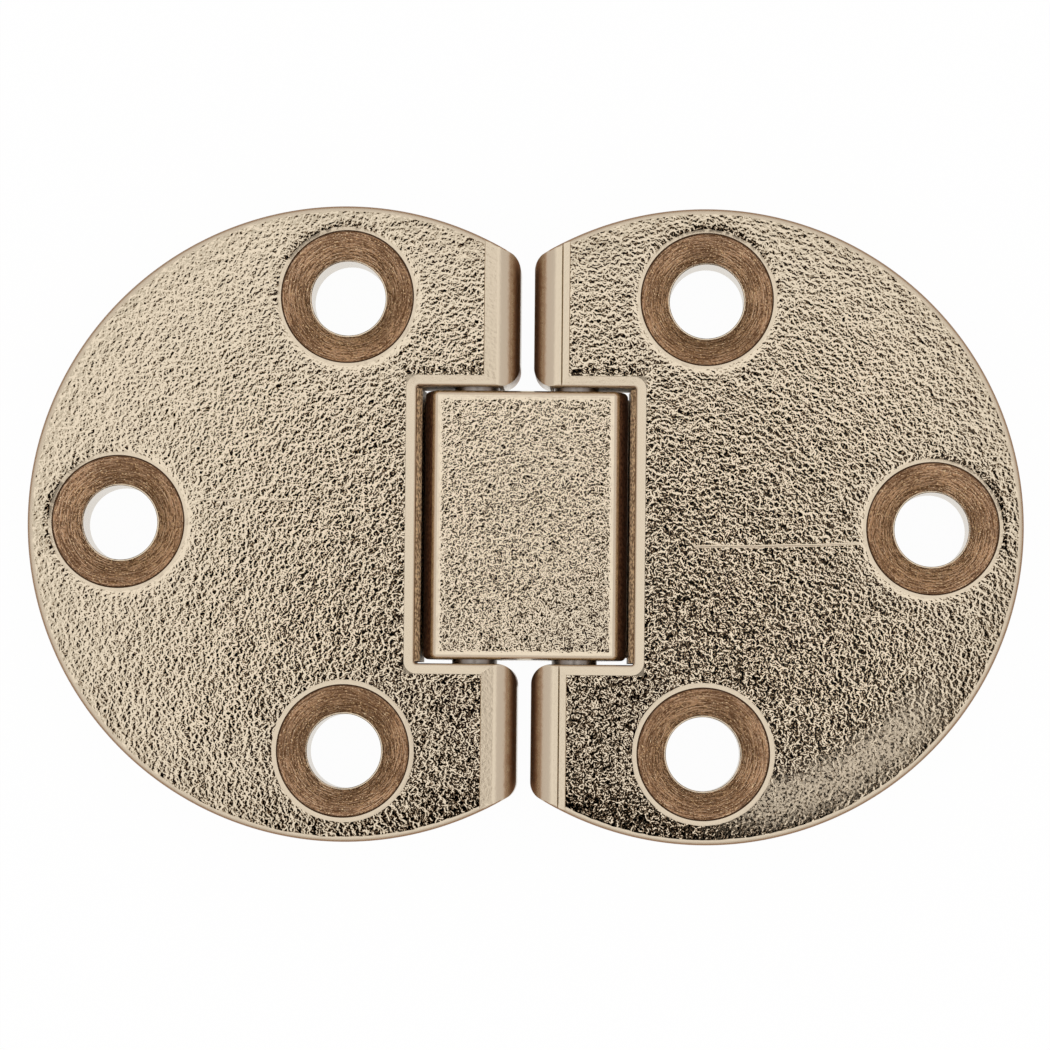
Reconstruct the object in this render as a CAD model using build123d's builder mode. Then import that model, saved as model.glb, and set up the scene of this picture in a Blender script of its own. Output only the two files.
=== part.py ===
from build123d import *
import os
from math import hypot, sqrt

# Flap hinge, lying flat: two round leaves with straight inner edges, and a short link that
# turns on a pin in each leaf. X runs across the pins, Y along them, and Z up out of the board.

# Driving dimensions, in millimetres and degrees

# Leaf
leaf_diameter = 35.0  # round outline, as drilled into a board
leaf_centre = 9.9  # middle of the hinge to the centre of a leaf's circle
inner_edge_radius = 1.45  # rounding along the top of the straight inner edge
ear_tip_radius = 1.1  # plan rounding where the inner edge meets the arc
ear_mouth_radius = 1.1  # plan rounding where the inner edge meets the pocket
top_edge_radius = 0.22  # rounding along the top of the arc and of the pocket
underside_break = 0.25  # chamfer along the underside's outline

# Grained field on a leaf, a little above the smooth borders around it
field_rise = 0.08
field_rim_border = 1.1  # along the arc
field_edge_border = 0.55  # beside the rounded inner edge
field_pocket_border = 0.65  # around the pocket
field_hole_border = 0.4  # around each countersink

# Screw holes
screw_rim_distance = 5.0  # arc to the middle of a screw hole
screw_hole_diameter = 4.1
countersink_diameter = 7.3
countersink_angle = 90.0

# Pins
pivot_depth = 2.2  # top of a leaf to the axis of its pin
pin_diameter = 2.5
pin_end_recess = 0.15  # pin's end below the nearest point of the arc
pin_end_chamfer = 0.3
pin_press_gap = 0.01  # radial, in the leaf
pin_running_gap = 0.05  # radial, in the link

# Link and the pocket that it lies in
link_length = 14.8  # along the pins
link_end_reach = 2.42  # axis of a pin to the end of the link's top
barrel_radius = 2.85  # link around each pin
link_drop = 0.1  # link's top below a leaf's top
link_top_radius = 0.4  # rounding along the top of the two ends
link_side_radius = 0.3  # rounding around the two sides
link_field_rise = 0.05  # grained field above the link's smooth border
link_field_border = 0.5
link_side_gap = 0.24  # link to pocket, along the pins
link_end_gap = 0.1  # link's turning corner to the pocket's end
tongue_gap = 0.15  # link to the tongue under it
tongue_thickness = 0.8
tongue_side_gap = 0.45  # tongue to pocket, along the pins
tongue_root = 0.5  # tongue's overlap into the pocket's end
pocket_corner_radius = 0.35  # plan rounding at the pocket's end

# Room to move
folded_gap = 1.1  # between the two tops when the hinge is folded shut
leaf_swing_gap = 0.17  # a leaf's turning inner edge to the middle of the hinge

# Heights and places that follow
leaf_radius = leaf_diameter / 2
pin_radius = pin_diameter / 2
pivot_x = pivot_depth + folded_gap / 2
pivot_z = tongue_thickness + tongue_gap + barrel_radius
leaf_top = pivot_z + pivot_depth
border_top = leaf_top - field_rise

# The inner edge stands where its rounded corner can just turn past the middle of the hinge
edge_height = border_top - pivot_z - inner_edge_radius
edge_sweep = pivot_x - leaf_swing_gap - inner_edge_radius
inner_edge_x = pivot_x - inner_edge_radius - sqrt(edge_sweep**2 - edge_height**2)
rounding_x = inner_edge_x + inner_edge_radius

# The pocket's end stands where the link's rounded corner and its barrel can just turn past it
link_half_width = pivot_x + link_end_reach
link_top = leaf_top - link_drop - link_field_rise
corner_reach = link_end_reach - link_top_radius
corner_height = link_top - pivot_z - link_top_radius
corner_sweep = hypot(corner_reach, corner_height) + link_top_radius
pocket_end_x = pivot_x + max(corner_sweep, barrel_radius) + link_end_gap
pocket_length = pocket_end_x - inner_edge_x
pocket_width = link_length + 2 * link_side_gap

pin_shoulder = leaf_centre - pivot_x + pin_radius
pin_half_length = sqrt(leaf_radius**2 - pin_shoulder**2) - pin_end_recess
screw_reach = leaf_radius - screw_rim_distance
screw_places = [
    (leaf_centre, screw_reach),
    (leaf_centre, -screw_reach),
    (leaf_centre + screw_reach, 0),
]

# Right leaf: one casting
with BuildPart() as right_leaf:
    # Round outline with a straight inner edge, and the pocket for the link cut through it
    with BuildSketch() as plan:
        with Locations((leaf_centre, 0)):
            Circle(leaf_radius)
        with Locations((inner_edge_x, 0)):
            Rectangle(leaf_diameter, leaf_diameter, align=(Align.MAX, Align.CENTER), mode=Mode.SUBTRACT)
        fillet(plan.vertices(), radius=ear_tip_radius)
        with Locations((inner_edge_x, 0)):
            Rectangle(pocket_length, pocket_width, align=(Align.MIN, Align.CENTER), mode=Mode.SUBTRACT)
        corners = plan.vertices().filter_by_position(Axis.Y, -pocket_width / 2, pocket_width / 2)
        mouth_corners = corners.group_by(Axis.X)[0]
        end_corners = corners.group_by(Axis.X)[-1]
        fillet(mouth_corners, radius=ear_mouth_radius)
        fillet(end_corners, radius=pocket_corner_radius)
    extrude(amount=border_top)

    # Softened edges around the top, and a broken edge around the underside
    fillet(right_leaf.faces().sort_by(Axis.Z)[-1].edges(), radius=top_edge_radius)
    chamfer(right_leaf.faces().sort_by(Axis.Z)[0].edges(), length=underside_break)

    # Tongue that the link lies on when the hinge is open
    with BuildSketch() as tongue:
        with Locations((inner_edge_x, 0)):
            Rectangle(
                pocket_length + tongue_root,
                pocket_width - 2 * tongue_side_gap,
                align=(Align.MIN, Align.CENTER),
            )
    extrude(amount=tongue_thickness)

    # Rounded top of the inner edge, straight through both ears
    with BuildSketch(Plane.XZ) as edge_waste:
        with Locations((rounding_x, border_top)):
            Rectangle(
                2 * inner_edge_radius,
                inner_edge_radius,
                align=(Align.MAX, Align.MAX),
            )
        with Locations((rounding_x, border_top - inner_edge_radius)):
            Circle(inner_edge_radius, mode=Mode.SUBTRACT)
    extrude(amount=leaf_diameter, both=True, mode=Mode.SUBTRACT)

    # Bore for the pin through both ears
    with BuildSketch(Plane.XZ) as bore:
        with Locations((pivot_x, pivot_z)):
            Circle(pin_radius + pin_press_gap)
    extrude(amount=leaf_diameter, both=True, mode=Mode.SUBTRACT)

    # Grained field
    with BuildSketch(Plane.XY.offset(border_top)) as field:
        with Locations((leaf_centre, 0)):
            Circle(leaf_radius - field_rim_border)
        with Locations((rounding_x + field_edge_border, 0)):
            Rectangle(leaf_diameter, leaf_diameter, align=(Align.MAX, Align.CENTER), mode=Mode.SUBTRACT)
        with Locations((pocket_end_x + field_pocket_border, 0)):
            Rectangle(
                pocket_length + field_pocket_border,
                pocket_width + 2 * field_pocket_border,
                align=(Align.MAX, Align.CENTER),
                mode=Mode.SUBTRACT,
            )
        with Locations(*screw_places):
            Circle(countersink_diameter / 2 + field_hole_border, mode=Mode.SUBTRACT)
    extrude(amount=field_rise)

    # Countersunk screw holes
    with Locations(Plane.XY.offset(border_top)):
        with Locations(*screw_places):
            CounterSinkHole(
                radius=screw_hole_diameter / 2,
                counter_sink_radius=countersink_diameter / 2,
                counter_sink_angle=countersink_angle,
            )

# Left leaf: the same casting in mirror image
with BuildPart() as left_leaf:
    mirror(right_leaf.part, about=Plane.YZ)

# Link: a flat top over a barrel around each pin
with BuildPart() as link:
    with BuildSketch(Plane.XZ) as side_view:
        with Locations((0, pivot_z)):
            SlotCenterToCenter(2 * pivot_x, 2 * barrel_radius)
        with Locations((0, link_top)):
            Rectangle(
                2 * (pivot_x + barrel_radius),
                2 * barrel_radius,
                align=(Align.CENTER, Align.MIN),
                mode=Mode.SUBTRACT,
            )
        with Locations((0, pivot_z)):
            Rectangle(
                2 * link_half_width,
                link_top - pivot_z,
                align=(Align.CENTER, Align.MIN),
            )
        fillet(side_view.vertices().group_by(Axis.Y)[-1], radius=link_top_radius)
    extrude(amount=link_length / 2, both=True)
    link_sides = link.faces().filter_by(Axis.Y)
    fillet(link_sides.edges(), radius=link_side_radius)

    with BuildSketch(Plane.XZ) as link_bores:
        with Locations((pivot_x, pivot_z), (-pivot_x, pivot_z)):
            Circle(pin_radius + pin_running_gap)
    extrude(amount=link_length, both=True, mode=Mode.SUBTRACT)

    with BuildSketch(Plane.XY.offset(link_top)) as link_field:
        RectangleRounded(
            2 * (link_half_width - link_field_border),
            link_length - 2 * link_field_border,
            radius=link_top_radius,
        )
    extrude(amount=link_field_rise)

# Pins: pressed into the leaves, free in the link
with BuildPart() as right_pin:
    with BuildSketch(Plane.XZ) as pin_section:
        with Locations((pivot_x, pivot_z)):
            Circle(pin_radius)
    extrude(amount=pin_half_length, both=True)
    chamfer(right_pin.faces().filter_by(Axis.Y).edges(), length=pin_end_chamfer)

with BuildPart() as left_pin:
    mirror(right_pin.part, about=Plane.YZ)

# One file for each piece
pieces = {
    "left_leaf": left_leaf,
    "right_leaf": right_leaf,
    "link": link,
    "left_pin": left_pin,
    "right_pin": right_pin,
}
os.makedirs("parts", exist_ok=True)
for name, piece in pieces.items():
    piece.part.label = name
    export_step(piece.part, f"parts/{name}.step")
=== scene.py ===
import math

import bpy
import numpy as np
from mathutils import Matrix, Vector, noise


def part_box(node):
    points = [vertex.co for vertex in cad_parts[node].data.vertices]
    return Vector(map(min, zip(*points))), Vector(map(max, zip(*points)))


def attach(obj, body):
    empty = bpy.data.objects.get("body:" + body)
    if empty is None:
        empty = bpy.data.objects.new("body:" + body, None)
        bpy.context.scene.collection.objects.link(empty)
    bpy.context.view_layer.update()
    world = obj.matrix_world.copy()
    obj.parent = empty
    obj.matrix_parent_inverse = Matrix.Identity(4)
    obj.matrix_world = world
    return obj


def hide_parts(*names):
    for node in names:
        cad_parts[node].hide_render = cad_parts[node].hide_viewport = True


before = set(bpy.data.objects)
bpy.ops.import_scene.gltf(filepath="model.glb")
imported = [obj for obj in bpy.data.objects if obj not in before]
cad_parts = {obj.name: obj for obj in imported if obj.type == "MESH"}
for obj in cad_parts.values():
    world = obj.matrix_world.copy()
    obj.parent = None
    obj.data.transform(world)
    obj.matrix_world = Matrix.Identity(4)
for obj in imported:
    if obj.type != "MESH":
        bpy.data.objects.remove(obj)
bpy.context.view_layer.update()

MM = 0.001

# Sizes of the hinge, in millimetres, as in the part's source
leaf_centre = 9.9
leaf_radius = 17.5
leaf_top = 6.0
border_top = 5.92
inner_edge_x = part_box("right_leaf")[0].x / MM
inner_edge_radius = 1.45
rounding_x = inner_edge_x + inner_edge_radius
top_edge_radius = 0.22
underside_break = 0.25
ear_radius = 1.1
screw_reach = 12.5
screw_places = [(leaf_centre, screw_reach), (leaf_centre, -screw_reach), (leaf_centre + screw_reach, 0)]
screw_hole_radius = 2.05
countersink_radius = 3.65
pivot_x = 2.75
pivot_z = 3.8
bore_radius = 1.26
pocket_end_x = 5.858
pocket_half_width = 7.64
tongue_half_width = 7.19
tongue_thickness = 0.8
link_half_length = 7.4
link_half_width = 5.17
link_top = 5.85
link_top_radius = 0.4
link_side_radius = 0.3
link_field_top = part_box("link")[1].z / MM
barrel_radius = 2.85
link_bore_radius = 1.3

# Forms that only the looks carry, in millimetres
field_level = 5.975  # middle of the grained surface
edge_top = 5.88  # crest of the rounded edges, where the smooth borders start to rise
border_slope = 5.8  # degrees, rise of the smooth border beside the inner edge
seam_x = 1.94  # fine groove beside the right leaf's rounded edge
seam_z = 5.91
pocket_rim_x = 6.02  # top of the pocket's leaning end wall
pocket_corner_radius = 0.12  # plan rounding at the pocket's end, sharper than in the solids
pocket_edge_radius = 0.16  # rounding along the top of the pocket
pocket_border = 0.6  # smooth border around the pocket
pocket_dip = 0.006  # fall of the field towards the pocket
upper_pocket_dip = 0.02  # the same on the pocket's upper side
pocket_dip_width = 0.45
hole_dip = 0.016  # fall of the field towards the upper and outer holes
hole_dip_start = 0.2  # from a countersink's edge
hole_dip_end = 0.48
lower_holes_y = -6  # the two lower holes lie below this line
field_step_x = 2.33  # foot of the field's step beside the inner edge
field_low = (2.0, -17.7)  # corners of the sheet that a leaf's field is cut from
field_high = (27.6, 17.7)
field_depth = 0.4
field_spacing = 0.12  # mesh of the grained surface
field_swell = 0.006  # height of the slow unevenness in the field
flow_lines = {
    "right": [
        (9.3, -1.11),
        (11, -1.06),
        (12.5, -1.08),
        (14.2, -1),
        (16, -0.97),
        (17.3, -0.9),
        (18.4, -0.84),
    ],
    "left": [(-18.2, 1.27), (-16.5, 1.22), (-14.6, 1.28), (-12.8, 1.22)],
}
flow_line_sink = {"right": 0, "left": 0.012}  # the left line is the fainter one
dull_band_radius = 15.6  # worn band along the right leaf's lower arc, about the leaf's centre
dull_band_angle = -61  # degrees, middle of the worn band
rim_top = 5.96  # crest of the rounding along the arc
rim_slope = 10  # degrees, slope of the field's edge along the arc
link_border = 0.52  # smooth border along the link's sides
link_border_trim = 0.06  # how much narrower it is at the link's ends
link_border_fall = 0.038  # how far it slopes down
link_border_width = 0.2  # and over what width
link_grain_start = 0.4  # where the grain starts, from the link's sides
link_sheet_margin = 0.32  # link's side to its grained sheet
link_sheet_end_margin = 0.26
link_field_spacing = 0.1
link_field_sink = 0.016  # middle of the grain below the link's highest point

# Where cutters start and end, well clear of the hinge, in millimetres
clear_under = -1
clear_over = 7
clear_beside = 20

# Steps around round shapes
arc_steps = 240
rim_steps = 288
hole_steps = 144
bore_steps = 96

# Order of the finishes on a leaf
plain_finish = 0
cone_finish = 1
pocket_finish = 2
grain_finish = 3

# Camera, from the photograph: nearly square above the hinge, a little to the lower right
frame_width = 57.69 * MM
camera_height = 345 * MM
camera_offset = Vector((6.0 * MM, -12.0 * MM))
camera_roll = math.radians(0.55)
sensor_width = 36
lens_shade_radius = 35 * MM
lens_shade_reach = 59 * MM  # where the soft edge of the lens's dark round ends
pale_spot = Vector((22 * MM, -4 * MM, 0))  # a paler place beside the lens

# Floor
floor_radius = 3.0
floor_white = 0.9
floor_own_light = 0.97
floor_z = -0.02 * MM  # a hair below the hinge's underside


# Modelling helpers


def deselect_all():
    """Nothing stays selected."""
    bpy.ops.object.select_all(action="DESELECT")


def select_only(obj):
    """Selects one object and makes it the active one."""
    deselect_all()
    obj.select_set(True)
    bpy.context.view_layer.objects.active = obj


def edit(obj):
    """Opens one object's mesh for editing."""
    select_only(obj)
    bpy.ops.object.mode_set(mode="EDIT")


def leave_edit():
    """Back to whole objects."""
    bpy.ops.object.mode_set(mode="OBJECT")


def mark(obj, wanted):
    """Selects the vertices for which wanted is true, and what lies wholly between them."""
    mesh = obj.data
    chosen = {vertex.index for vertex in mesh.vertices if wanted(vertex.co / MM)}
    for vertex in mesh.vertices:
        vertex.select = vertex.index in chosen
    for edge in mesh.edges:
        edge.select = chosen.issuperset(edge.vertices)
    for polygon in mesh.polygons:
        polygon.select = chosen.issuperset(polygon.vertices)


def cut(obj, cutter, operation="DIFFERENCE"):
    """A boolean of obj with cutter, applied."""
    select_only(obj)
    step = obj.modifiers.new("cut", "BOOLEAN")
    step.operation = operation
    step.solver = "MANIFOLD"
    step.object = cutter
    bpy.ops.object.modifier_apply(modifier=step.name)
    bpy.data.objects.remove(cutter)


def flat_shape(name, points):
    """A flat face through these points, in millimetres."""
    deselect_all()
    bpy.ops.mesh.primitive_circle_add(vertices=len(points), radius=MM, fill_type="NGON")
    obj = bpy.context.object
    obj.name = name
    for vertex, point in zip(obj.data.vertices, points):
        vertex.co = Vector(point) * MM
    return obj


def extruded(name, points, step):
    """A solid: a flat face through points, drawn out along step."""
    obj = flat_shape(name, points)
    edit(obj)
    bpy.ops.mesh.select_all(action="SELECT")
    bpy.ops.mesh.extrude_region_move(TRANSFORM_OT_translate={"value": Vector(step) * MM})
    bpy.ops.mesh.select_all(action="SELECT")
    bpy.ops.mesh.normals_make_consistent(inside=False)
    leave_edit()
    return obj


def box_between(name, low, high):
    """A block between two corners, in millimetres."""
    x0, y0, z0 = low
    x1, y1, z1 = high
    corners = [(x0, y0, z0), (x1, y0, z0), (x1, y1, z0), (x0, y1, z0)]
    return extruded(name, corners, (0, 0, z1 - z0))


def turned(name, profile, centre, steps):
    """A solid turned about a vertical axis at centre: profile is radius and height, axis to axis."""
    deselect_all()
    bpy.ops.mesh.primitive_circle_add(vertices=len(profile), radius=MM, fill_type="NOTHING")
    obj = bpy.context.object
    obj.name = name
    for vertex, (radius, height) in zip(obj.data.vertices, profile):
        vertex.co = Vector((centre[0] + radius, centre[1], height)) * MM
    mark(obj, lambda place: abs(place.x - centre[0]) < 0.001)
    edit(obj)
    bpy.ops.mesh.delete(type="EDGE")
    bpy.ops.mesh.select_all(action="SELECT")
    bpy.ops.mesh.spin(
        steps=steps,
        angle=2 * math.pi,
        center=Vector((centre[0], centre[1], 0)) * MM,
        axis=(0, 0, 1),
    )
    bpy.ops.mesh.select_all(action="SELECT")
    bpy.ops.mesh.remove_doubles(threshold=0.0005 * MM)
    bpy.ops.mesh.normals_make_consistent(inside=False)
    leave_edit()
    return obj


def rod(name, centre, radius, half_length, vertices):
    """A round rod along Y."""
    deselect_all()
    bpy.ops.mesh.primitive_cylinder_add(
        vertices=vertices,
        radius=radius * MM,
        depth=2 * half_length * MM,
        location=Vector(centre) * MM,
        rotation=(math.pi / 2, 0, 0),
    )
    obj = bpy.context.object
    obj.name = name
    bpy.ops.object.transform_apply(location=True, rotation=True, scale=True)
    return obj


def arc(centre, radius, start, end, steps):
    """Points of an arc, angles in degrees."""
    points = []
    for k in range(steps + 1):
        turn = math.radians(start + (end - start) * k / steps)
        points.append((centre[0] + radius * math.cos(turn), centre[1] + radius * math.sin(turn)))
    return points


def rings(steps):
    """Insets the selected face again and again: pairs of width and rise, in millimetres."""
    for width, rise in steps:
        bpy.ops.mesh.inset(thickness=width * MM, depth=rise * MM, use_even_offset=True)


def rounding_steps(radius, last_angle, count):
    """Widths and rises that round an edge from upright to last_angle."""
    steps = []
    before = (0.0, 0.0)
    for k in range(1, count + 1):
        turn = math.radians(last_angle * k / count)
        now = (radius * (1 - math.cos(turn)), radius * math.sin(turn))
        steps.append((now[0] - before[0], now[1] - before[1]))
        before = now
    return steps


def smooth_shade(obj, angle):
    """Smooth shading that leaves flat faces flat."""
    select_only(obj)
    bpy.ops.object.shade_smooth_by_angle(angle=math.radians(angle))
    step = obj.modifiers.new("flat_faces", "WEIGHTED_NORMAL")
    step.mode = "FACE_AREA_WITH_ANGLE"
    step.weight = 100
    step.keep_sharp = True
    bpy.ops.object.modifier_apply(modifier=step.name)


def ease(low, high, value):
    """Zero below low, one above high, smooth between."""
    share = np.clip((value - low) / (high - low), 0, 1)
    return share * share * (3 - 2 * share)


# Pieces


def screw_hole_cutter(place):
    """Hole, ledge, countersink and a shallow smooth rim, turned in one."""
    ledge = screw_hole_radius + 0.08
    foot = border_top - (countersink_radius - ledge)
    profile = [
        (0, clear_under),
        (screw_hole_radius, clear_under),
        (screw_hole_radius, foot - 0.03),
        (screw_hole_radius + 0.03, foot),
        (ledge, foot + 0.005),
        (countersink_radius - 0.02, border_top - 0.02),
        (countersink_radius + 0.02, border_top + 0.01),
        (countersink_radius + 0.22, border_top + 0.043),
        (countersink_radius + 0.4, border_top + 0.085),
        (countersink_radius + 0.4, clear_over),
        (0, clear_over),
    ]
    return turned("screw_hole", profile, place, hole_steps)


def rim_profile():
    """What is kept of a leaf along its arc: a rounded edge that slopes up to the field."""
    outside = leaf_radius - 0.01
    side_top = rim_top - top_edge_radius
    rounding = arc((outside - top_edge_radius, side_top), top_edge_radius, 0, 90 - rim_slope, 16)
    start, height = rounding[-1]
    run = 2.0
    crest = height + run * math.tan(math.radians(rim_slope))
    return [(0, clear_under), (outside, clear_under)] + rounding + [(start - run, crest), (0, crest)]


def edge_cutter(hand):
    """What is cut away to round the inner edge, with a smooth border sloping up to the field's step."""
    centre = (rounding_x, edge_top - inner_edge_radius)
    roll = arc(centre, inner_edge_radius, 180, 90 + border_slope, 40)
    start_x, start_z = roll[-1]
    end_z = start_z + (field_step_x - start_x) * math.tan(math.radians(border_slope))
    past_middle = -1
    step_top_x = field_step_x + 0.9
    points = [(past_middle, centre[1]), (inner_edge_x - 0.005, centre[1])]
    points += roll
    points += [(field_step_x, end_z), (step_top_x, end_z + 1)]
    points += [(step_top_x, clear_over), (past_middle, clear_over)]
    outline = [(hand * x, clear_beside, z) for x, z in points]
    return extruded("edge_waste", outline, (0, -2 * clear_beside, 0))


def pocket_end():
    """The pocket's end wall, which leans in towards its foot but clears the link's turning corner."""
    corners = [
        (pocket_rim_x + 0.2, 0.3),
        (pocket_rim_x + 0.2, 5.4),
        (pocket_rim_x, 5.62),
        (pocket_end_x - 0.12, 4.95),
        (pocket_end_x - 0.06, 4.5),
        (pocket_end_x - 0.02, 4.1),
        (pocket_end_x - 0.02, 3.3),
        (pocket_end_x - 0.16, 2.4),
        (pocket_end_x - 0.22, tongue_thickness),
        (pocket_end_x - 0.22, 0.3),
    ]
    half = pocket_half_width - pocket_corner_radius
    return extruded("pocket_end", [(x, -half, z) for x, z in corners], (0, 2 * half, 0))


def leaf_outline():
    """The right leaf from above: arc, ear tips, mouth corners and the pocket's end."""
    tip_x = inner_edge_x + ear_radius
    tip_y = math.sqrt((leaf_radius - ear_radius) ** 2 - (leaf_centre - tip_x) ** 2)
    turn = math.degrees(math.atan2(tip_y, tip_x - leaf_centre))
    mouth_y = pocket_half_width + ear_radius
    end_x = pocket_rim_x - pocket_corner_radius
    end_y = pocket_half_width - pocket_corner_radius
    points = arc((leaf_centre, 0), leaf_radius, -turn, turn, arc_steps)
    points += arc((tip_x, tip_y), ear_radius, turn, 180, 12)[1:]
    points += arc((tip_x, mouth_y), ear_radius, 180, 270, 16)
    points += arc((end_x, end_y), pocket_corner_radius, 90, 0, 12)
    points += arc((end_x, -end_y), pocket_corner_radius, 0, -90, 12)
    points += arc((tip_x, -mouth_y), ear_radius, 90, 180, 16)
    points += arc((tip_x, -tip_y), ear_radius, 180, 360 - turn, 12)[:-1]
    return points


def leaf_body():
    """The right leaf without its grained field."""
    outline = [(x, y, underside_break) for x, y in leaf_outline()]
    body = extruded("leaf_body", outline, (0, 0, edge_top - pocket_edge_radius - underside_break))

    slope = [(0.22, 0.035), (0.22, 0.035)]
    mark(body, lambda place: place.z > 3)
    edit(body)
    rings(rounding_steps(pocket_edge_radius, 81, 12) + slope)
    leave_edit()
    mark(body, lambda place: place.z < underside_break + 0.01)
    edit(body)
    rings([(underside_break, underside_break)])
    leave_edit()

    tongue = box_between(
        "tongue",
        (inner_edge_x, -tongue_half_width, 0),
        (pocket_end_x + 0.5, tongue_half_width, tongue_thickness),
    )
    cut(body, tongue, "UNION")
    cut(body, pocket_end(), "UNION")
    cut(body, rod("bore", (pivot_x, 0, pivot_z), bore_radius, clear_beside, bore_steps))
    return body


def field_sheet(name, low, high, spacing, top, depth):
    """A thin block with an evenly meshed top."""
    width = high[0] - low[0]
    length = high[1] - low[1]
    deselect_all()
    bpy.ops.mesh.primitive_grid_add(
        x_subdivisions=round(width / spacing),
        y_subdivisions=round(length / spacing),
        size=MM,
    )
    obj = bpy.context.object
    obj.name = name
    edit(obj)
    bpy.ops.mesh.select_all(action="SELECT")
    bpy.ops.transform.resize(value=(width, length, 1))
    bpy.ops.transform.translate(
        value=Vector(((low[0] + high[0]) / 2, (low[1] + high[1]) / 2, top)) * MM
    )
    bpy.ops.mesh.region_to_loop()
    bpy.ops.mesh.extrude_region_move(TRANSFORM_OT_translate={"value": (0, 0, -depth * MM)})
    bpy.ops.mesh.edge_face_add()
    bpy.ops.mesh.select_all(action="SELECT")
    bpy.ops.mesh.normals_make_consistent(inside=False)
    leave_edit()
    return obj


def leaf_field():
    """The right leaf's grained field, still flat."""
    field = field_sheet("leaf_field", field_low, field_high, field_spacing, leaf_top, field_depth)
    deselect_all()
    bpy.ops.mesh.primitive_cylinder_add(
        vertices=arc_steps,
        radius=(leaf_radius + 0.05) * MM,
        depth=4 * MM,
        location=Vector((leaf_centre, 0, leaf_top)) * MM,
    )
    disc = bpy.context.object
    bpy.ops.object.transform_apply(location=True, rotation=True, scale=True)
    cut(field, disc, "INTERSECT")
    half = pocket_half_width + pocket_border
    pocket = box_between("pocket", (0, -half, 5), (pocket_rim_x + pocket_border, half, clear_over))
    cut(field, pocket)
    return field


def vertex_places(mesh):
    """Places of all vertices, in millimetres."""
    places = np.empty(len(mesh.vertices) * 3)
    mesh.vertices.foreach_get("co", places)
    return places.reshape(-1, 3) / MM


def raise_field(obj, top, level, drop):
    """Lowers a flat field's top to its level, lets its edges dip and gives it a slow unevenness."""
    mesh = obj.data
    places = vertex_places(mesh)
    on_top = places[:, 2] > top - 0.001
    waves = np.zeros(len(places))
    for k in np.nonzero(on_top)[0]:
        x, y, _ = places[k]
        waves[k] = noise.noise((x / 0.36, y / 0.36, 0.3)) + noise.noise((x / 1.4, y / 1.4, 4.7))
    height = level + field_swell * np.clip(waves, -1.4, 1.4) - drop(places)
    places[:, 2] = np.where(on_top, np.minimum(height, top), places[:, 2])
    mesh.vertices.foreach_set("co", (places * MM).ravel())
    mesh.update()


def from_hole(x, y):
    """Distance to the middle of the nearest screw hole."""
    return np.minimum(
        np.hypot(x - leaf_centre, y - screw_reach),
        np.hypot(x - leaf_centre - screw_reach, y),
    )


def leaf_drop(places):
    """How far a leaf's field dips near the pocket, most of all on its upper side, and near most holes."""
    x = np.abs(places[:, 0])
    y = np.abs(places[:, 1])
    beside = x - pocket_rim_x
    above = y - pocket_half_width
    from_pocket = np.maximum(beside, above)
    pocket_depth = np.where((places[:, 1] > 0) & (above > beside), upper_pocket_dip, pocket_dip)
    by_pocket = pocket_depth * (1 - ease(pocket_border, pocket_border + pocket_dip_width, from_pocket))
    hole_depth = np.where(places[:, 1] > lower_holes_y, hole_dip, 0)
    from_countersink = from_hole(x, y) - countersink_radius
    by_hole = hole_depth * (1 - ease(hole_dip_start, hole_dip_end, from_countersink))
    return by_pocket + by_hole


def leaf_grain(places):
    """How strong the grain is: it calms towards the arc and ends at the arc and the countersinks."""
    x = np.abs(places[:, 0])
    y = np.abs(places[:, 1])
    rim = leaf_radius - np.hypot(x - leaf_centre, y)
    uneven = 0.09 * np.sin(9.1 * x + 2.3 * y) * np.sin(7.7 * y - 3.1 * x)
    calm = 0.74 + 0.26 * ease(0.4, 2.4, rim)
    calm *= 1 - 0.35 * leaf_dullness(places)
    by_rim = ease(0.1, 0.4, rim + uneven)
    by_hole = ease(0.12, 0.3, from_hole(x, y) - countersink_radius + uneven)
    return calm * by_rim * by_hole


def leaf_dullness(places):
    """How dull the plate is: one in the middle of the right leaf's worn band, fading to zero around it."""
    x = places[:, 0]
    y = places[:, 1]
    uneven = 0.15 * np.sin(2.1 * x + 1.3 * y) * np.sin(1.7 * y - 0.9 * x)
    uneven += 0.2 * np.sin(5.3 * x - 3.7 * y) * np.sin(4.9 * y + 2.9 * x)
    across = np.abs(np.hypot(x - leaf_centre, y) - dull_band_radius) + uneven
    along = np.abs(np.degrees(np.arctan2(y, x - leaf_centre)) - dull_band_angle)
    band = (1 - ease(0.2, 2.3, across)) * (1 - ease(12, 36, along))
    return np.where(x > 0, band, 0)


def set_share(obj, name, share):
    """Writes a share at every vertex, such as the grain's strength, for the material to read."""
    mesh = obj.data
    values = share(vertex_places(mesh)).astype(np.float32)
    layer = mesh.attributes.new(name, "FLOAT", "POINT")
    layer.data.foreach_set("value", values)


def give_materials(obj, materials, index):
    """Gives obj all these materials, and every face the one at index."""
    mesh = obj.data
    mesh.materials.clear()
    for material in materials:
        mesh.materials.append(material)
    mesh.polygons.foreach_set("material_index", np.full(len(mesh.polygons), index, dtype=np.int32))


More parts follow.
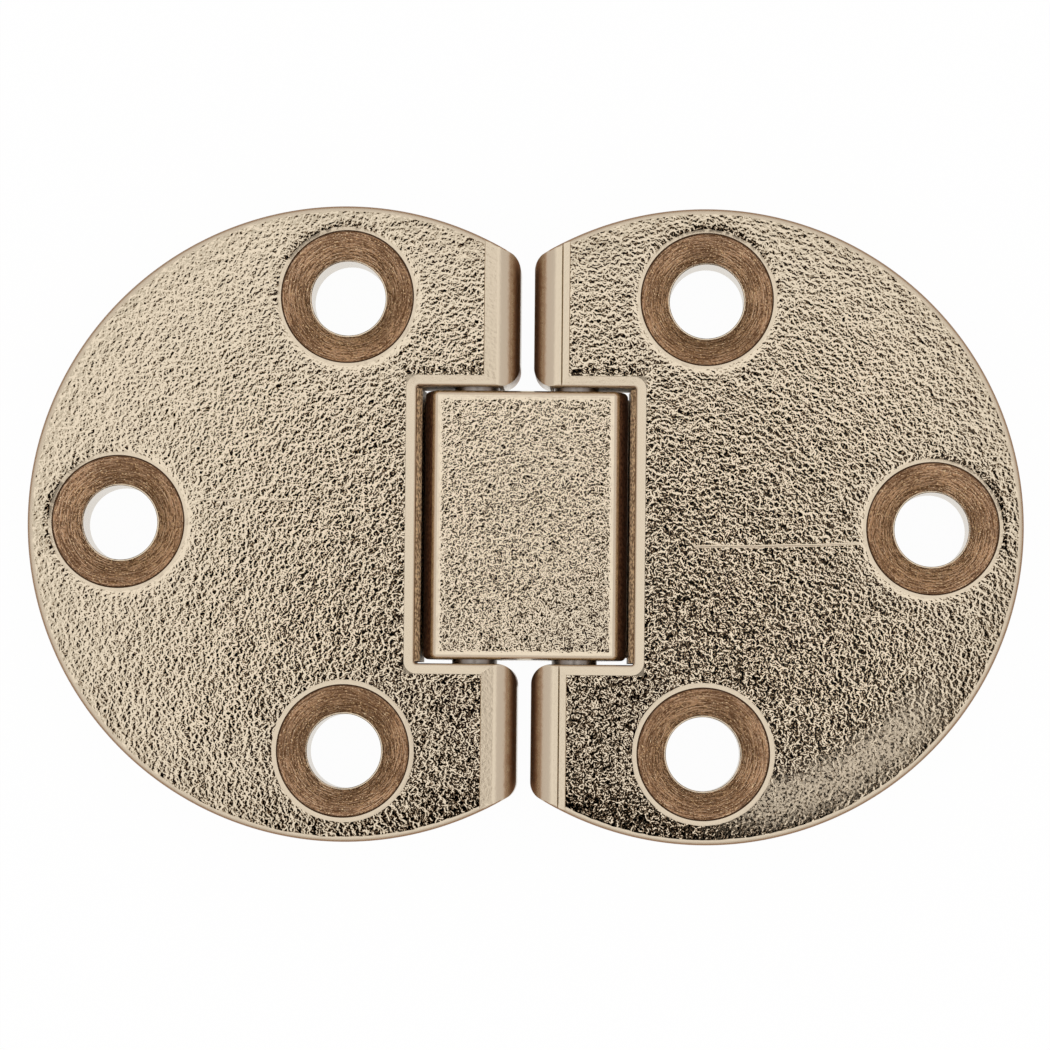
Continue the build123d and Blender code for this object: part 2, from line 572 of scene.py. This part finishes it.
def paint_leaf(obj):
    """Gives the countersinks and the pocket's walls their finishes; other faces keep theirs."""
    mesh = obj.data
    count = len(mesh.polygons)
    centres = np.empty(count * 3)
    normals = np.empty(count * 3)
    indices = np.empty(count, dtype=np.int32)
    mesh.polygons.foreach_get("center", centres)
    mesh.polygons.foreach_get("normal", normals)
    mesh.polygons.foreach_get("material_index", indices)
    centres = centres.reshape(-1, 3) / MM
    normals = normals.reshape(-1, 3)
    x = np.abs(centres[:, 0])
    y = np.abs(centres[:, 1])
    z = centres[:, 2]
    near_hole = from_hole(x, y) < countersink_radius + 0.02
    cone = near_hole & (normals[:, 2] > 0.5) & (normals[:, 2] < 0.9)
    pocket = (x < pocket_rim_x + 0.02) & (y < pocket_half_width + 0.02)
    pocket &= (z < border_top - 0.2) & (z > tongue_thickness + 0.05)
    indices[cone] = cone_finish
    indices[pocket] = pocket_finish
    mesh.polygons.foreach_set("material_index", indices)
    mesh.update()


def mirrored(obj):
    """A copy of obj on the other side of the hinge's middle."""
    copy = obj.copy()
    copy.data = obj.data.copy()
    bpy.context.scene.collection.objects.link(copy)
    select_only(copy)
    copy.scale.x = -1
    bpy.ops.object.transform_apply(location=True, rotation=True, scale=True)
    edit(copy)
    bpy.ops.mesh.select_all(action="SELECT")
    bpy.ops.mesh.normals_make_consistent(inside=False)
    leave_edit()
    return copy


def seam_cutter():
    """A fine groove beside the right leaf's rounded inner edge."""
    half_width = 0.06
    corners = [
        (seam_x - half_width, clear_beside, seam_z + 0.02),
        (seam_x, clear_beside, seam_z - 0.08),
        (seam_x + half_width, clear_beside, seam_z + 0.02),
        (seam_x + half_width, clear_beside, clear_over),
        (seam_x - half_width, clear_beside, clear_over),
    ]
    return extruded("seam", corners, (0, -2 * clear_beside, 0))


def flow_line(points, sink):
    """A fine raised line that the metal left where it met in the mould."""
    half_width = 0.11
    foot = field_level - 0.08 - sink
    edge = [(x, y + half_width, foot) for x, y in points]
    edge += [(x, y - half_width, foot) for x, y in reversed(points)]
    line = extruded("flow_line", edge, (0, 0, 0.06))
    mark(line, lambda place: place.z > foot + 0.03)
    edit(line)
    rings([(0.035, 0.028), (0.065, 0.01)])
    leave_edit()
    return line


def make_leaves(materials):
    """Both leaves: body, grained field, flow line, rounded edges and screw holes."""
    names = ("edge_shaded_plate", "turned_cone", "pocket_wall", "grained_plate")
    finishes = [materials[name] for name in names]
    body = leaf_body()
    field = leaf_field()
    give_materials(body, finishes, plain_finish)
    give_materials(field, finishes, grain_finish)
    hands = (("right", 1, body, field), ("left", -1, mirrored(body), mirrored(field)))
    for side, hand, leaf, grained in hands:
        raise_field(grained, leaf_top, field_level, leaf_drop)
        cut(leaf, grained, "UNION")
        line = flow_line(flow_lines[side], flow_line_sink[side])
        give_materials(line, finishes, plain_finish)
        cut(leaf, line, "UNION")
        rim = turned("rim", rim_profile(), (hand * leaf_centre, 0), rim_steps)
        give_materials(rim, finishes, plain_finish)
        cut(leaf, rim, "INTERSECT")
        edge_waste = edge_cutter(hand)
        give_materials(edge_waste, finishes, plain_finish)
        cut(leaf, edge_waste)
        if side == "right":
            cut(leaf, seam_cutter())
        for x, y in screw_places:
            hole = screw_hole_cutter((hand * x, y))
            give_materials(hole, finishes, plain_finish)
            cut(leaf, hole)
        paint_leaf(leaf)
        smooth_shade(leaf, 9)
        set_share(leaf, "grain", leaf_grain)
        set_share(leaf, "dull", leaf_dullness)
        leaf.name = side + "_leaf_shell"
        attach(leaf, side + "_half")
        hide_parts(side + "_leaf")


def from_link_edge(places):
    """Distance from the link's edges, with a narrower border at its ends."""
    x = link_half_width - np.abs(places[:, 0])
    y = link_half_length - np.abs(places[:, 1])
    return np.minimum(x, y + link_border_trim)


def link_drop(places):
    """How far the link's field slopes down to its four edges."""
    return link_border_fall * np.clip((link_border - from_link_edge(places)) / link_border_width, 0, 1)


def link_grain(places):
    """How strong the grain is on the link: full but for its very edges."""
    return ease(link_grain_start, link_border, from_link_edge(places))


def link_outline():
    """The link seen along the pins: a flat top over a barrel around each pin."""
    corner = (link_half_width - link_top_radius, link_top - link_top_radius)
    shoulder = math.degrees(math.acos((link_half_width - pivot_x) / barrel_radius))
    right = arc((pivot_x, pivot_z), barrel_radius, -90, shoulder, 40)
    right += arc(corner, link_top_radius, 0, 90, 10)
    left = [(-x, z) for x, z in reversed(right)]
    return right + left


def make_link(materials):
    """The link: body with rounded sides and two bores, and its grained top."""
    straight = link_half_length - link_side_radius
    outline = [(x, -straight, z) for x, z in link_outline()]
    body = extruded("link_body", outline, (0, 2 * straight, 0))
    for side in (1, -1):
        mark(body, lambda place: place.y * side > 3)
        edit(body)
        rings(rounding_steps(link_side_radius, 90, 8))
        leave_edit()
    for x in (pivot_x, -pivot_x):
        cut(body, rod("bore", (x, 0, pivot_z), link_bore_radius, clear_beside, bore_steps))
    field = field_sheet(
        "link_field",
        (-link_half_width + link_sheet_margin, -link_half_length + link_sheet_end_margin),
        (link_half_width - link_sheet_margin, link_half_length - link_sheet_end_margin),
        link_field_spacing,
        link_field_top,
        field_depth,
    )
    raise_field(field, link_field_top, link_field_top - link_field_sink, link_drop)
    finishes = [materials["smooth_plate"], materials["grained_link"], materials["shaded_link_side"]]
    smooth, grained, dark = range(3)
    give_materials(body, finishes, smooth)
    # The link's sides, down in the pockets, are given the painted shade.
    for polygon in body.data.polygons:
        if abs(polygon.center.x) > (link_half_width - 0.02) * MM:
            if polygon.center.z < (link_top - link_top_radius + 0.1) * MM:
                polygon.material_index = dark
    give_materials(field, finishes, grained)
    cut(body, field, "UNION")
    smooth_shade(body, 28)
    set_share(body, "grain", link_grain)
    body.name = "link_shell"
    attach(body, "middle")
    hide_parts("link")


# Materials

nickel = (0.575, 0.485, 0.36, 1)
deeper_nickel = (0.545, 0.465, 0.345, 1)
border_nickel = (0.52, 0.44, 0.325, 1)
# Painted shade on the leaves' rounded edges
edge_shade_brown = (0.3, 0.17, 0.09, 1)
cone_brown = (0.2, 0.127, 0.075, 1)
cone_tan = (0.72, 0.54, 0.37, 1)
cone_fleck = (0.85, 0.7, 0.46, 1)
# Painted shade in the countersinks' crease
cone_crease_shade = (0.08, 0.05, 0.03, 1)
# The pocket's own golden brown, darkened in part as painted shade
pocket_shade_brown = (0.28, 0.17, 0.09, 1)
pocket_gold = (0.95, 0.72, 0.42, 1)
# Painted shade of the link's sides in the pockets
side_shade_brown = (0.14, 0.075, 0.05, 1)
side_shade_tan = (0.34, 0.2, 0.13, 1)
steel_grey = (0.3, 0.27, 0.24, 1)


def new_material(name):
    """An empty material, with its node tree and its output."""
    material = bpy.data.materials.new(name)
    material.use_nodes = True
    tree = material.node_tree
    tree.nodes.clear()
    output = tree.nodes.new("ShaderNodeOutputMaterial")
    return material, tree, output


def add_node(tree, kind, settings=None, inputs=None):
    """One shader node, with its settings, and with constants or links on its inputs."""
    node = tree.nodes.new("ShaderNode" + kind)
    for name, value in (settings or {}).items():
        setattr(node, name, value)
    for name, value in (inputs or {}).items():
        if isinstance(value, bpy.types.NodeSocket):
            tree.links.new(value, node.inputs[name])
        else:
            node.inputs[name].default_value = value
    return node


def calc(tree, operation, first, second=0.0):
    """The result of one arithmetic node."""
    return add_node(tree, "Math", {"operation": operation}, {0: first, 1: second}).outputs[0]


def vector_calc(tree, operation, first, second=(0, 0, 0)):
    """The result of one vector node."""
    return add_node(tree, "VectorMath", {"operation": operation}, {0: first, 1: second}).outputs["Vector"]


def scaled(tree, vector, factor):
    """A vector times a number."""
    node = add_node(tree, "VectorMath", {"operation": "SCALE"}, {0: vector, "Scale": factor})
    return node.outputs["Vector"]


def length_of(tree, vector):
    """The length of a vector."""
    return add_node(tree, "VectorMath", {"operation": "LENGTH"}, {0: vector}).outputs["Value"]


def distance(tree, place, centre):
    """The distance between two places."""
    return add_node(tree, "VectorMath", {"operation": "DISTANCE"}, {0: place, 1: centre}).outputs["Value"]


def millimetres(tree):
    """Object coordinates in millimetres."""
    return scaled(tree, add_node(tree, "TexCoord").outputs["Object"], 1 / MM)


def noise_of(tree, place, size, detail=0.0, roughness=0.5):
    """Noise with features of this size, turned so that its cells don't line up with the piece."""
    askew = add_node(
        tree,
        "VectorRotate",
        {"rotation_type": "EULER_XYZ"},
        {"Vector": place, "Rotation": (0.5, 0.4, 0.6)},
    ).outputs[0]
    return add_node(
        tree,
        "TexNoise",
        inputs={"Vector": askew, "Scale": 1 / size, "Detail": detail, "Roughness": roughness},
    ).outputs["Fac"]


def between(tree, value, low, high, out_low=0.0, out_high=1.0):
    """A smooth step of value from low to high."""
    return add_node(
        tree,
        "MapRange",
        {"interpolation_type": "SMOOTHSTEP"},
        {"Value": value, "From Min": low, "From Max": high, "To Min": out_low, "To Max": out_high},
    ).outputs[0]


def blend(tree, share, first, second):
    """A colour between first and second."""
    colours = {"Factor": share, "A": first, "B": second}
    return add_node(tree, "Mix", {"data_type": "RGBA"}, colours).outputs["Result"]


def metal(tree, output, colour, roughness, normal=None, metallic=1.0):
    """A metal surface, put on the material's output."""
    inputs = {"Base Color": colour, "Metallic": metallic, "Roughness": roughness}
    if normal is not None:
        inputs["Normal"] = normal
    shader = add_node(tree, "BsdfPrincipled", inputs=inputs)
    tree.links.new(shader.outputs[0], output.inputs["Surface"])


def plate_colour(tree, place):
    """Warm nickel with a faint drift of tone."""
    return blend(tree, noise_of(tree, place, 6.0, 2.0), nickel, deeper_nickel)


def relief(tree, height):
    """A normal from a height in millimetres."""
    lift = calc(tree, "MULTIPLY", height, MM)
    return add_node(tree, "Bump", inputs={"Height": lift, "Strength": 1.0, "Distance": 1.0}).outputs[0]


def ripple(tree, place):
    """The faint unevenness of the smooth plate, as a normal."""
    return relief(tree, calc(tree, "MULTIPLY", noise_of(tree, place, 0.2, 2.0), 0.006))


def grained_plate(name, grain_size, grain_height):
    """Plated casting with a sandy grain, as strong and as dull as the piece's own attributes say."""
    material, tree, output = new_material(name)
    place = millimetres(tree)
    grain = calc(tree, "SUBTRACT", noise_of(tree, place, grain_size, 1.0, 0.45), 0.5)
    share = add_node(tree, "Attribute", {"attribute_name": "grain"}).outputs["Fac"]
    height = calc(tree, "MULTIPLY", grain, calc(tree, "MULTIPLY", share, grain_height))
    dull = add_node(tree, "Attribute", {"attribute_name": "dull"}).outputs["Fac"]
    specks = between(tree, noise_of(tree, place, 0.13, 1.0), 0.38, 0.56, 0.25, 1.0)
    worn = calc(tree, "MULTIPLY", dull, specks)
    roughness = calc(tree, "ADD", calc(tree, "MULTIPLY", worn, 0.26), 0.03)
    metal(tree, output, plate_colour(tree, place), roughness, relief(tree, height))
    return material


def smooth_plate():
    """Plated casting without grain, on the link's body."""
    material, tree, output = new_material("smooth_plate")
    place = millimetres(tree)
    metal(tree, output, plate_colour(tree, place), 0.2, ripple(tree, place))
    return material


def unshaded_share(tree, place):
    """One where a leaf's smooth plate is free of painted shade, and zero where the painted shade is full.
    """
    parts = add_node(tree, "SeparateXYZ", inputs={0: place})
    across = calc(tree, "ABSOLUTE", parts.outputs["X"])
    along = calc(tree, "ABSOLUTE", parts.outputs["Y"])

    # Painted shade on the rounded inner edge, where it curves down to the gap, and further down only at
    # the ears' mouths beside the link
    uneven = calc(tree, "MULTIPLY", noise_of(tree, place, 0.35, 3.0, 0.65), 0.8)
    off_edge = between(tree, calc(tree, "ADD", across, uneven), 0.8, 1.5)
    low = between(tree, parts.outputs["Z"], 3.4, 4.3, 1.0, 0.0)
    past_mouth = between(tree, along, 8.6, 9.0)
    unshaded = calc(tree, "MAXIMUM", off_edge, calc(tree, "MULTIPLY", low, past_mouth))

    # Painted shade in a thin line along the top of the arc, where its rounding turns down
    flat = add_node(tree, "CombineXYZ", inputs={"X": across, "Y": parts.outputs["Y"]}).outputs[0]
    reach = distance(tree, flat, (leaf_centre, 0, 0))
    inside = between(tree, reach, leaf_radius - 0.09, leaf_radius - 0.05, 1.0, 0.0)
    below = between(tree, parts.outputs["Z"], 5.70, 5.76, 1.0, 0.0)
    return calc(tree, "MULTIPLY", unshaded, calc(tree, "MAXIMUM", inside, below))


def edge_shaded_plate():
    """Plated casting of the leaves, without grain, with brown painted shade on its rounded edges."""
    material, tree, output = new_material("edge_shaded_plate")
    place = millimetres(tree)
    unshaded = unshaded_share(tree, place)
    colour = blend(tree, unshaded, edge_shade_brown, border_nickel)
    roughness = calc(tree, "SUBTRACT", 0.45, calc(tree, "MULTIPLY", unshaded, 0.25))
    metal(tree, output, colour, roughness, ripple(tree, place))
    return material


def from_nearest_hole(tree, place):
    """Distance and offset from the middle of the nearest screw hole, seen from above."""
    folded = vector_calc(tree, "ABSOLUTE", place)
    flat = vector_calc(tree, "MULTIPLY", folded, (1, 1, 0))
    offsets = []
    reaches = []
    for centre in ((leaf_centre, screw_reach, 0), (leaf_centre + screw_reach, 0, 0)):
        offset = vector_calc(tree, "SUBTRACT", flat, centre)
        offsets.append(offset)
        reaches.append(length_of(tree, offset))
    radius = calc(tree, "MINIMUM", reaches[0], reaches[1])
    first_is_nearer = calc(tree, "LESS_THAN", reaches[0], reaches[1])
    choice = {"Factor": first_is_nearer, "A": offsets[1], "B": offsets[0]}
    nearer = add_node(tree, "Mix", {"data_type": "VECTOR"}, choice)
    return radius, nearer.outputs["Result"]


def turning_marks(tree, place, radius, offset):
    """Short marks that run around each hole: long noise around it, short noise outwards."""
    around = scaled(tree, vector_calc(tree, "NORMALIZE", offset), 3.7)
    ring = add_node(tree, "CombineXYZ", inputs={"Z": calc(tree, "DIVIDE", radius, 0.075)}).outputs[0]
    lathe = vector_calc(tree, "ADD", around, ring)
    side = vector_calc(tree, "SIGN", place)
    shift = vector_calc(tree, "MULTIPLY", side, (7.3, 11.9, 0))
    return noise_of(tree, vector_calc(tree, "ADD", lathe, shift), 1.0, 2.0, 0.6)


def turned_cone():
    """Browned metal of the countersinks, with turning marks, flecks and a dark line of painted shade in
    the crease at their rim.
    """
    material, tree, output = new_material("turned_cone")
    place = millimetres(tree)
    radius, offset = from_nearest_hole(tree, place)
    marks = turning_marks(tree, place, radius, offset)
    specks = noise_of(tree, place, 0.12, 1.0)
    height = calc(tree, "MULTIPLY", calc(tree, "ADD", marks, calc(tree, "MULTIPLY", specks, 0.4)), 0.035)
    mottle = calc(tree, "ADD", calc(tree, "MULTIPLY", marks, 0.65), calc(tree, "MULTIPLY", specks, 0.35))
    drift = between(tree, noise_of(tree, place, 2.6, 1.0), 0.35, 0.65, 0.55, 1.3)
    tone = calc(tree, "MULTIPLY", between(tree, mottle, 0.38, 0.63), drift)
    colour = blend(tree, tone, cone_brown, cone_tan)
    flecks = between(tree, noise_of(tree, place, 0.1), 0.66, 0.72)
    colour = blend(tree, flecks, colour, cone_fleck)
    # Painted shade in the crease where the cone meets the rim
    outline = between(tree, radius, countersink_radius - 0.1, countersink_radius - 0.04)
    colour = blend(tree, outline, colour, cone_crease_shade)
    metal(tree, output, colour, 0.28, relief(tree, height))
    return material


def pocket_wall():
    """Golden brown speckled walls of the pocket, which mirror little: their own cast colour, darkened in
    part as painted shade for the dim pocket.
    """
    material, tree, output = new_material("pocket_wall")
    speckle = noise_of(tree, millimetres(tree), 0.16, 1.0)
    colour = blend(tree, between(tree, speckle, 0.38, 0.62), pocket_shade_brown, pocket_gold)
    metal(tree, output, colour, 0.5, metallic=0.2)
    return material


def shaded_link_side():
    """Dark speckled brown metal on the link's two sides, down in the pockets, as painted shade."""
    material, tree, output = new_material("shaded_link_side")
    speckle = noise_of(tree, millimetres(tree), 0.16, 1.0)
    colour = blend(tree, between(tree, speckle, 0.3, 0.7), side_shade_brown, side_shade_tan)
    metal(tree, output, colour, 0.45, relief(tree, calc(tree, "MULTIPLY", speckle, 0.02)))
    return material


def pin_steel():
    """Plain drawn steel of the pins."""
    material, tree, output = new_material("pin_steel")
    metal(tree, output, steel_grey, 0.3)
    return material


# Studio


def make_floor():
    """A white floor that takes the hinge's shadow and is clear when seen from below."""
    deselect_all()
    bpy.ops.mesh.primitive_circle_add(
        vertices=96,
        radius=floor_radius,
        fill_type="NGON",
        location=(0, 0, floor_z),
    )
    floor = bpy.context.object
    floor.name = "floor"
    material, tree, output = new_material("pale_floor")
    matte = add_node(tree, "BsdfDiffuse", inputs={"Color": (floor_white, floor_white, floor_white, 1)})
    glow = add_node(tree, "Emission", inputs={"Color": (1, 1, 1, 1), "Strength": 1.0})
    path = add_node(tree, "LightPath")
    seen = calc(tree, "MAXIMUM", path.outputs["Is Camera Ray"], path.outputs["Is Glossy Ray"])
    seen = calc(tree, "MAXIMUM", seen, path.outputs["Is Transmission Ray"])
    share = calc(tree, "MULTIPLY", seen, floor_own_light)
    upper = add_node(tree, "MixShader", inputs={0: share, 1: matte.outputs[0], 2: glow.outputs[0]})
    below = add_node(tree, "NewGeometry").outputs["Backfacing"]
    clear = add_node(tree, "BsdfTransparent", inputs={"Color": (1, 1, 1, 1)})
    mix = add_node(tree, "MixShader", inputs={0: below, 1: upper.outputs[0], 2: clear.outputs[0]})
    tree.links.new(mix.outputs[0], output.inputs["Surface"])
    floor.data.materials.append(material)


def make_studio():
    """A bright dome overhead that falls to a dim warm horizon."""
    world = bpy.data.worlds.new("studio")
    bpy.context.scene.world = world
    world.use_nodes = True
    tree = world.node_tree
    tree.nodes.clear()
    output = tree.nodes.new("ShaderNodeOutputWorld")
    direction = add_node(tree, "TexCoord").outputs["Generated"]
    rise = add_node(tree, "SeparateXYZ", inputs={0: direction}).outputs["Z"]
    ramp = add_node(tree, "ValToRGB", inputs={0: rise})
    stops = [
        (0.0, (0.37, 0.23, 0.16)),
        (0.3, (0.61, 0.43, 0.32)),
        (0.42, (0.98, 0.92, 0.92)),
        (0.87, (1.0, 0.97, 0.99)),
        (0.94, (1.5, 1.5, 1.54)),
        (0.985, (1.5, 1.5, 1.54)),
        (0.9935, (1.0, 1.0, 1.0)),
    ]
    elements = ramp.color_ramp.elements
    while len(elements) < len(stops):
        elements.new(1.0)
    for element, (place, colour) in zip(elements, stops):
        element.position = place
        element.color = (*colour, 1)
    light = add_node(tree, "Background", inputs={"Color": ramp.outputs[0], "Strength": 1.0})
    tree.links.new(light.outputs[0], output.inputs["Surface"])


def make_lens_shade(location):
    """The dark round of the lens, which the bright metal mirrors, with a soft edge."""
    deselect_all()
    bpy.ops.mesh.primitive_circle_add(
        vertices=64,
        radius=lens_shade_reach + 2 * MM,
        fill_type="NGON",
        location=location + Vector((0, 0, 2 * MM)),
    )
    shade = bpy.context.object
    shade.name = "lens_shade"
    material, tree, output = new_material("lens_black")
    place = add_node(tree, "TexCoord").outputs["Object"]
    clear = between(tree, length_of(tree, place), lens_shade_radius, lens_shade_reach)
    red = calc(tree, "POWER", clear, 0.8)
    blue = calc(tree, "POWER", clear, 1.2)
    tint = add_node(tree, "CombineColor", inputs={"Red": red, "Green": clear, "Blue": blue}).outputs[0]
    veil = add_node(tree, "BsdfTransparent", inputs={"Color": tint})
    pale = between(tree, distance(tree, place, pale_spot), 5 * MM, 15 * MM, 0.4, 0.0)
    glow = add_node(tree, "Emission", inputs={"Color": (1.0, 0.93, 0.85, 1), "Strength": 0.55})
    mix = add_node(tree, "MixShader", inputs={0: pale, 1: veil.outputs[0], 2: glow.outputs[0]})
    tree.links.new(mix.outputs[0], output.inputs["Surface"])
    shade.data.materials.append(material)
    shade.visible_camera = False
    shade.visible_shadow = False
    shade.visible_diffuse = False


def make_camera():
    """The camera, and the lens's dark round at its place."""
    target = Vector((0, 0, leaf_top * MM))
    location = target + Vector((camera_offset.x, camera_offset.y, camera_height))
    back = (location - target).normalized()
    up = Vector((-math.sin(camera_roll), math.cos(camera_roll), 0))
    right = up.cross(back).normalized()
    up = back.cross(right)
    camera = bpy.data.cameras.new("camera")
    camera.sensor_width = sensor_width
    camera.lens = sensor_width * (location - target).length / frame_width
    camera.clip_start = 0.01
    holder = bpy.data.objects.new("camera", camera)
    bpy.context.scene.collection.objects.link(holder)
    holder.matrix_world = Matrix.Translation(location) @ Matrix((right, up, back)).transposed().to_4x4()
    bpy.context.scene.camera = holder
    make_lens_shade(location)


# The scene

bpy.context.scene.view_settings.view_transform = "Standard"

piece_materials = {
    "grained_plate": grained_plate("grained_plate", 0.2, 0.0262),
    "grained_link": grained_plate("grained_link", 0.17, 0.03),
    "smooth_plate": smooth_plate(),
    "edge_shaded_plate": edge_shaded_plate(),
    "turned_cone": turned_cone(),
    "pocket_wall": pocket_wall(),
    "shaded_link_side": shaded_link_side(),
}
make_leaves(piece_materials)
make_link(piece_materials)
steel = pin_steel()
for node in ("left_pin", "right_pin"):
    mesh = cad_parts[node].data
    mesh.materials.clear()
    mesh.materials.append(steel)

make_floor()
make_studio()
make_camera()
